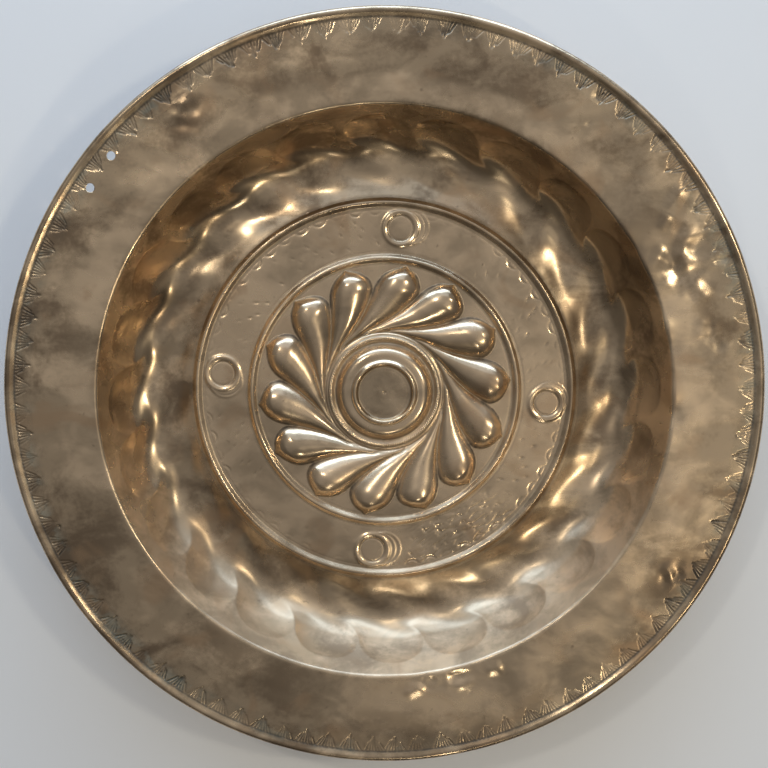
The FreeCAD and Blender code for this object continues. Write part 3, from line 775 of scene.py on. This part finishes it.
class Shell:
    """Vertices and polygons of a closed sheet, added ring by ring."""

    def __init__(self):
        self.points = []
        self.marks = []
        self.count = 0
        self.polygons = []

    def ring(self, at, columns, front):
        """Adds a ring of points. Returns the number of its first point and how many it has."""
        azimuth = np.arange(columns) * 360.0 / columns
        points, marks = place_points(np.full(columns, at), azimuth, front)
        first = self.count
        self.points.append(points)
        self.marks.append(marks)
        self.count += columns
        return first, columns

    def middle(self, height):
        """Adds the point on the axis that a fan starts from."""
        self.points.append(np.array([[0.0, 0.0, height]]))
        self.marks.append(np.array([[0.0, 0.0, PATINA_AND_SHADING[0][1], HAZE_LEAST]]))
        self.count += 1
        return self.count - 1

    def strip(self, inner, outer):
        """Polygons between two rings, going counter-clockwise seen with inner inside."""
        first_a, count_a = inner
        first_b, count_b = outer
        if count_a >= count_b:
            ratio = count_a // count_b
            i = np.arange(count_b)
            columns = [first_b + (i + 1) % count_b, first_b + i]
            columns += [first_a + (i * ratio + k) % count_a for k in range(ratio + 1)]
        else:
            ratio = count_b // count_a
            i = np.arange(count_a)
            columns = [first_a + i, first_a + (i + 1) % count_a]
            columns += [first_b + (i * ratio + k) % count_b for k in range(ratio, -1, -1)]
        polygons = np.stack(columns, 1)
        self.polygons.append(polygons[:, ::-1])

    def fan(self, middle, ring, outward):
        """Triangles from a middle point to a ring."""
        first, count = ring
        i = np.arange(count)
        polygons = np.stack([np.full(count, middle), first + i, first + (i + 1) % count], 1)
        self.polygons.append(polygons if outward else polygons[:, ::-1])

    def mesh(self, name):
        """The finished mesh, smooth-shaded, with its marks as point attributes."""
        mesh = bpy.data.meshes.new(name)
        points = np.concatenate(self.points) * MM
        totals = np.concatenate([np.full(len(p), p.shape[1]) for p in self.polygons])
        loops = np.concatenate([p.reshape(-1) for p in self.polygons])
        starts = np.concatenate([[0], np.cumsum(totals)[:-1]])
        mesh.vertices.add(len(points))
        mesh.vertices.foreach_set("co", points.astype(np.float32).reshape(-1))
        mesh.loops.add(len(loops))
        mesh.loops.foreach_set("vertex_index", loops.astype(np.int32))
        mesh.polygons.add(len(totals))
        mesh.polygons.foreach_set("loop_start", starts.astype(np.int32))
        mesh.update(calc_edges=True)
        mesh.validate()
        mesh.polygons.foreach_set("use_smooth", np.ones(len(mesh.polygons), bool))
        marks = np.concatenate(self.marks).astype(np.float32)
        for column, mark in enumerate(MARKS):
            attribute = mesh.attributes.new(mark, "FLOAT", "POINT")
            attribute.data.foreach_set("value", marks[:, column].copy())
        return mesh


def pierce(sheet):
    """Cuts the two hanging holes through the finished sheet."""
    for number, (distance, azimuth) in enumerate(HOLES):
        turn = math.radians(azimuth)
        middle = (distance * math.cos(turn) * MM, distance * math.sin(turn) * MM, DRILL_MIDDLE * MM)
        bpy.ops.mesh.primitive_cylinder_add(vertices=DRILL_SIDES, radius=HOLE_RADIUS * MM,
                                            depth=DRILL_LENGTH * MM, location=middle)
        drill = bpy.context.object
        drill.name = f"drill_{number}"
        cut = sheet.modifiers.new("hole", "BOOLEAN")
        cut.operation = "DIFFERENCE"
        cut.solver = "EXACT"
        cut.object = drill
        bpy.context.view_layer.objects.active = sheet
        bpy.ops.object.modifier_apply(modifier=cut.name)
        bpy.data.objects.remove(drill)


def make_sheet():
    """The whole brass sheet: front from the middle out and round the roll, back the other way."""
    shell = Shell()
    front = front_rows()
    disc_height = float(section(0.0)[1])
    front_middle = shell.middle(disc_height - PUNCH_DEPTH)
    previous = shell.ring(*front[0], True)
    shell.fan(front_middle, previous, True)
    for row in front[1:]:
        ring = shell.ring(*row, True)
        shell.strip(previous, ring)
        previous = ring
    for row in back_rows(front):
        ring = shell.ring(*row, False)
        shell.strip(previous, ring)
        previous = ring
    back_middle = shell.middle(disc_height - GAUGE)
    shell.fan(back_middle, previous, False)
    sheet = bpy.data.objects.new("brass_sheet", shell.mesh("brass_sheet"))
    bpy.context.scene.collection.objects.link(sheet)
    return sheet


# ---------------------------------------------------------------------------------------------
# Materials
# ---------------------------------------------------------------------------------------------


class Shader:
    """A material's node tree, with short calls to add nodes and join them."""

    def __init__(self, tree):
        self.tree = tree
        self.nodes = tree.nodes
        self.nodes.clear()

    def add(self, kind, inputs=None, **settings):
        """A node with its inputs fed by name."""
        node = self.nodes.new(kind)
        for name, value in settings.items():
            setattr(node, name, value)
        for name, value in (inputs or {}).items():
            self.feed(node.inputs[name], value)
        return node

    def feed(self, socket, value):
        """Joins a socket to another, or sets its value."""
        if isinstance(value, bpy.types.NodeSocket):
            self.tree.links.new(value, socket)
        else:
            socket.default_value = value

    def noise(self, where, size, detail=3.0, rough=0.55, warp=0.0):
        """Noise with features about size millimetres across, 0 to 1."""
        return self.add("ShaderNodeTexNoise", {
            "Vector": where, "Scale": 1.0 / (size * MM), "Detail": detail, "Roughness": rough,
            "Distortion": warp}).outputs["Fac"]

    def level(self, value, low, high, out_low=0.0, out_high=1.0):
        """Maps a value from low..high to the out range, clamped and smooth."""
        return self.add("ShaderNodeMapRange", {
            "Value": value, "From Min": low, "From Max": high, "To Min": out_low,
            "To Max": out_high}, interpolation_type="SMOOTHSTEP").outputs["Result"]

    def math(self, operation, first, second=0.0):
        """One sum on two values or sockets."""
        node = self.nodes.new("ShaderNodeMath")
        node.operation = operation
        self.feed(node.inputs[0], first)
        self.feed(node.inputs[1], second)
        return node.outputs[0]

    def mix(self, amount, first, second):
        """The first colour going over to the second."""
        node = self.nodes.new("ShaderNodeMix")
        node.data_type = "RGBA"
        self.feed(node.inputs["Factor"], amount)
        colours = [socket for socket in node.inputs if socket.type == "RGBA"]
        self.feed(colours[0], first)
        self.feed(colours[1], second)
        return next(socket for socket in node.outputs if socket.type == "RGBA")

    def stretched(self, where, turn, long, short):
        """Coordinates that make noise run in streaks along one direction."""
        return self.add("ShaderNodeMapping", {
            "Vector": where, "Rotation": (0.0, 0.0, math.radians(turn)),
            "Scale": (1.0 / long, 1.0 / short, 1.0 / short)}).outputs["Vector"]

    def finish(self, colour, metallic, roughness, height, depth_mm):
        """The surface itself, with relief from a height socket."""
        bump = self.add("ShaderNodeBump", {"Height": height, "Distance": depth_mm * MM,
                                           "Strength": 1.0})
        surface = self.add("ShaderNodeBsdfPrincipled", {
            "Base Color": colour, "Metallic": metallic, "Roughness": roughness,
            "Normal": bump.outputs["Normal"]})
        output = self.add("ShaderNodeOutputMaterial")
        self.tree.links.new(surface.outputs["BSDF"], output.inputs["Surface"])


def new_material(name):
    """An empty material and the shader that fills it."""
    material = bpy.data.materials.new(name)
    material.use_nodes = True
    return material, Shader(material.node_tree)


BRASS_BRIGHT = (0.80, 0.605, 0.395, 1.0)
BRASS_AGED = (0.58, 0.44, 0.285, 1.0)
BRASS_BROWN = (0.22, 0.155, 0.098, 1.0)
BRASS_RUDDY = (0.54, 0.36, 0.21, 1.0)
GRIME_AND_SHADE_DARK = (0.045, 0.036, 0.028, 1.0)
VERDIGRIS = (0.16, 0.18, 0.15, 1.0)


def brass_material():
    """Old brass: hand-polished highs, brown patina in clouds that also paints shade and a highlight,
    ruddy stains, dark grime, and painted shade in hollows and creases.
    """
    material, s = new_material("old_brass")
    where = s.add("ShaderNodeTexCoord").outputs["Object"]
    grime_and_shade, green_zone, patina_and_shading, haze = (
        s.add("ShaderNodeAttribute", attribute_name=mark).outputs["Fac"] for mark in MARKS)
    pointed = s.add("ShaderNodeNewGeometry").outputs["Pointiness"]

    # Noise patterns, each with its size in millimetres
    clouds = s.noise(where, 48, 4.0, 0.55, 0.5)
    smudges = s.noise(s.stretched(where, 20, 1.5, 1), 17, 3.0, 0.5, 0.6)
    grain = s.noise(where, 2.6, 4.0, 0.6)
    fine = s.noise(where, 0.7, 2.0, 0.5)
    streaks_a = s.noise(s.stretched(where, 35, 14, 1), 1.1, 3.0, 0.6)
    streaks_b = s.noise(s.stretched(where, -52, 18, 1), 1.4, 3.0, 0.6)

    # Polished, aged, brown and ruddy brass in clouds, with small brown spots
    tone = s.math("ADD", s.math("MULTIPLY", clouds, 0.55), s.math("MULTIPLY", smudges, 0.45))
    # The patina mark browns the colour, and with it paints shade on the well's floor and wall and a
    # highlight on the boss.
    worn = s.math("SUBTRACT", tone, s.math("MULTIPLY", patina_and_shading, 0.16))
    colour = s.mix(s.level(worn, 0.34, 0.50), BRASS_AGED, BRASS_BRIGHT)
    dull = s.noise(s.stretched(where, -35, 1.5, 1), 26, 4.0, 0.55, 0.5)
    brown = s.level(s.math("ADD", s.math("MULTIPLY", dull, 0.85), s.math("MULTIPLY", grain, 0.15)),
                    0.42, 0.62)
    brown = s.math("MULTIPLY", brown, s.level(patina_and_shading, 0.0, 1.0, 0.15, 1.0))
    colour = s.mix(s.math("MULTIPLY", brown, 0.9), colour, BRASS_BROWN)
    ruddy = s.math("MULTIPLY", s.level(s.noise(where, 34, 3.0, 0.5, 0.8), 0.54, 0.72), 0.6)
    colour = s.mix(ruddy, colour, BRASS_RUDDY)
    spots = s.level(s.noise(where, 5.5, 4.0, 0.65), 0.64, 0.76)
    colour = s.mix(s.math("MULTIPLY", spots, 0.55), colour, BRASS_BROWN)

    # Grime and painted shade in the hollows, verdigris near the edge, bright metal on rubbed crests
    # Pointiness picks out small creases, which are darkened as painted shade.
    hollow = s.level(pointed, 0.496, 0.470)
    dirt_and_shade = s.math("MAXIMUM", grime_and_shade, s.math("MULTIPLY", hollow, 0.55))
    dirt_and_shade = s.math("MULTIPLY", dirt_and_shade, s.level(grain, 0.25, 0.6, 0.55, 1.0))
    colour = s.mix(s.math("MULTIPLY", dirt_and_shade, 0.85), colour, GRIME_AND_SHADE_DARK)
    green = s.math("MULTIPLY", green_zone, s.level(s.noise(where, 11, 4.0, 0.6), 0.47, 0.62))
    colour = s.mix(s.math("MULTIPLY", green, 0.6), colour, VERDIGRIS)
    rubbed = s.level(pointed, 0.512, 0.56)
    colour = s.mix(s.math("MULTIPLY", rubbed, 0.6), colour, BRASS_BRIGHT)

    # Grime and painted shade, verdigris and the dull film make it rougher and less metallic
    rough = s.level(tone, 0.40, 0.62, 0.17, 0.27)
    rough = s.math("ADD", rough, s.math("MULTIPLY", brown, 0.07))
    rough = s.math("ADD", rough, s.math("MULTIPLY", s.math("MAXIMUM", dirt_and_shade, green), 0.28))
    rough = s.math("ADD", rough, s.math("MULTIPLY", haze, 0.22))
    dulled = s.math("MAXIMUM", s.math("MAXIMUM", dirt_and_shade, green), haze)
    metallic = s.math("SUBTRACT", 1.0, s.math("MULTIPLY", dulled, 0.55))

    # Grain, scratches two ways and shallow smudges, as relief
    scratches = s.math("MULTIPLY", s.math("ADD", streaks_a, streaks_b), 0.11)
    relief = s.math("ADD", s.math("MULTIPLY", grain, 0.10), s.math("MULTIPLY", fine, 0.04))
    relief = s.math("ADD", relief, scratches)
    relief = s.math("ADD", relief, s.math("MULTIPLY", smudges, 0.8))
    s.finish(colour, metallic, rough, relief, depth_mm=0.07)
    return material


IRON_DARK = (0.055, 0.048, 0.043, 1.0)
RUST = (0.17, 0.066, 0.028, 1.0)


def iron_material():
    """The edge wire: dark oxidised iron with rusty bloom."""
    material, s = new_material("edge_iron")
    where = s.add("ShaderNodeTexCoord").outputs["Object"]
    rust = s.level(s.noise(where, 5.0, 5.0, 0.65), 0.42, 0.66)
    grain = s.noise(where, 0.8, 3.0, 0.6)
    colour = s.mix(rust, IRON_DARK, RUST)
    metallic = s.math("SUBTRACT", 0.85, s.math("MULTIPLY", rust, 0.7))
    rough = s.level(s.math("ADD", rust, grain), 0.2, 1.6, 0.45, 0.85)
    relief = s.math("ADD", grain, s.math("MULTIPLY", rust, 0.8))
    s.finish(colour, metallic, rough, relief, depth_mm=0.12)
    return material


FLOOR_GREY = (0.90, 0.90, 0.89, 1.0)
FLOOR_PALE = (0.94, 0.94, 0.93, 1.0)


def floor_material():
    """A plain pale studio floor with a slight mottle."""
    material, s = new_material("pale_floor")
    where = s.add("ShaderNodeTexCoord").outputs["Object"]
    mottle = s.noise(where, 90, 3.0)
    colour = s.mix(mottle, FLOOR_GREY, FLOOR_PALE)
    s.finish(colour, 0.0, 0.7, mottle, depth_mm=0.05)
    return material


# ---------------------------------------------------------------------------------------------
# Studio: floor, sky, lights and camera
# ---------------------------------------------------------------------------------------------

# From here on, places and sizes are in metres
FLOOR_REACH = 3.0
FLOOR_LEVEL = -0.0003


def make_floor():
    """A square floor just under the dish."""
    mesh = bpy.data.meshes.new("studio_floor")
    corners = [(-1, -1), (1, -1), (1, 1), (-1, 1)]
    mesh.from_pydata([(x * FLOOR_REACH, y * FLOOR_REACH, FLOOR_LEVEL) for x, y in corners], [],
                     [(0, 1, 2, 3)])
    floor = bpy.data.objects.new("studio_floor", mesh)
    bpy.context.scene.collection.objects.link(floor)
    mesh.materials.append(floor_material())


SKY_DARK = (0.045, 0.040, 0.034, 1.0)
SKY_LIGHT = (0.53, 0.53, 0.55, 1.0)


def make_sky():
    """Soft surroundings, brightest overhead and towards +Y, darkest low down on the -Y side."""
    world = bpy.data.worlds.new("studio")
    bpy.context.scene.world = world
    world.use_nodes = True
    s = Shader(world.node_tree)
    direction = s.add("ShaderNodeTexCoord").outputs["Generated"]
    split = s.add("ShaderNodeSeparateXYZ", {"Vector": direction})
    towards = s.add("ShaderNodeMapRange", {
        "Value": split.outputs["Y"], "From Min": -1.1, "From Max": 0.95})
    overhead = s.level(split.outputs["Z"], 0.55, 0.93, 0.42, 1.0)
    lit = s.math("MULTIPLY", towards.outputs["Result"], overhead)
    colour = s.mix(lit, SKY_DARK, SKY_LIGHT)
    sky = s.add("ShaderNodeBackground", {"Color": colour, "Strength": 1.0})
    output = s.add("ShaderNodeOutputWorld")
    s.tree.links.new(sky.outputs["Background"], output.inputs["Surface"])


LIGHT_TARGET = np.array([0.0, 0.0, 0.02])


def area_light(name, place, size, watts, colour):
    """A soft rectangular light that faces the dish."""
    data = bpy.data.lights.new(name, "AREA")
    data.shape = "RECTANGLE"
    data.size, data.size_y = size
    data.energy = watts
    data.color = colour
    light = bpy.data.objects.new(name, data)
    light.location = place
    aim = LIGHT_TARGET - np.array(place)
    yaw = math.atan2(aim[1], aim[0])
    drop = math.atan2(-aim[2], math.hypot(aim[0], aim[1]))
    light.rotation_euler = (math.pi / 2 - drop, 0.0, yaw - math.pi / 2)
    bpy.context.scene.collection.objects.link(light)


# Name, place, size, watts and colour of each light
LIGHTS = [
    ("window", (-0.1, 1.6, 0.44), (2.4, 0.8), 32.0, (0.54, 0.73, 1.0)),
    ("high_window", (-0.1, 1.17, 1.09), (1.8, 0.7), 2.2, (0.60, 0.76, 1.0)),
    ("soft_right", (0.50, -0.22, 1.2), (0.45, 0.6), 0.16, (1.0, 0.95, 0.86)),
    ("warm_low_right", (0.62, -0.47, 0.97), (0.055, 0.055), 1.15, (1.0, 0.88, 0.66)),
    ("warm_right", (0.74, 0.26, 0.96), (0.10, 0.10), 1.7, (1.0, 0.92, 0.74)),
    ("warm_front", (0.12, -0.83, 0.80), (0.08, 0.08), 0.5, (1.0, 0.94, 0.80)),
    ("warm_upper_left", (-0.44, 0.56, 1.05), (0.08, 0.08), 1.3, (1.0, 0.93, 0.80)),
]

CAMERA_PLACE = (-0.0003, 0.068, 0.575)
CAMERA_TILT = -6.35
CAMERA_LENS = 45.8
CAMERA_SENSOR = 36.0


def make_camera():
    """Looks down into the dish from just beyond its middle, with +Y up in the picture."""
    data = bpy.data.cameras.new("photo_view")
    data.lens = CAMERA_LENS
    data.sensor_width = CAMERA_SENSOR
    camera = bpy.data.objects.new("photo_view", data)
    camera.location = CAMERA_PLACE
    camera.rotation_euler = (math.radians(CAMERA_TILT), 0.0, 0.0)
    bpy.context.scene.collection.objects.link(camera)
    bpy.context.scene.camera = camera


# ---------------------------------------------------------------------------------------------
# Putting it together
# ---------------------------------------------------------------------------------------------

make_camera()
make_sky()
for light in LIGHTS:
    area_light(*light)
make_floor()

sheet = make_sheet()
pierce(sheet)
sheet.data.materials.clear()
sheet.data.materials.append(brass_material())
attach(sheet, "root")
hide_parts("dish_sheet")

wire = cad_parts["edge_wire"]
wire.data.materials.clear()
wire.data.materials.append(iron_material())

bpy.context.scene.view_settings.view_transform = "Standard"
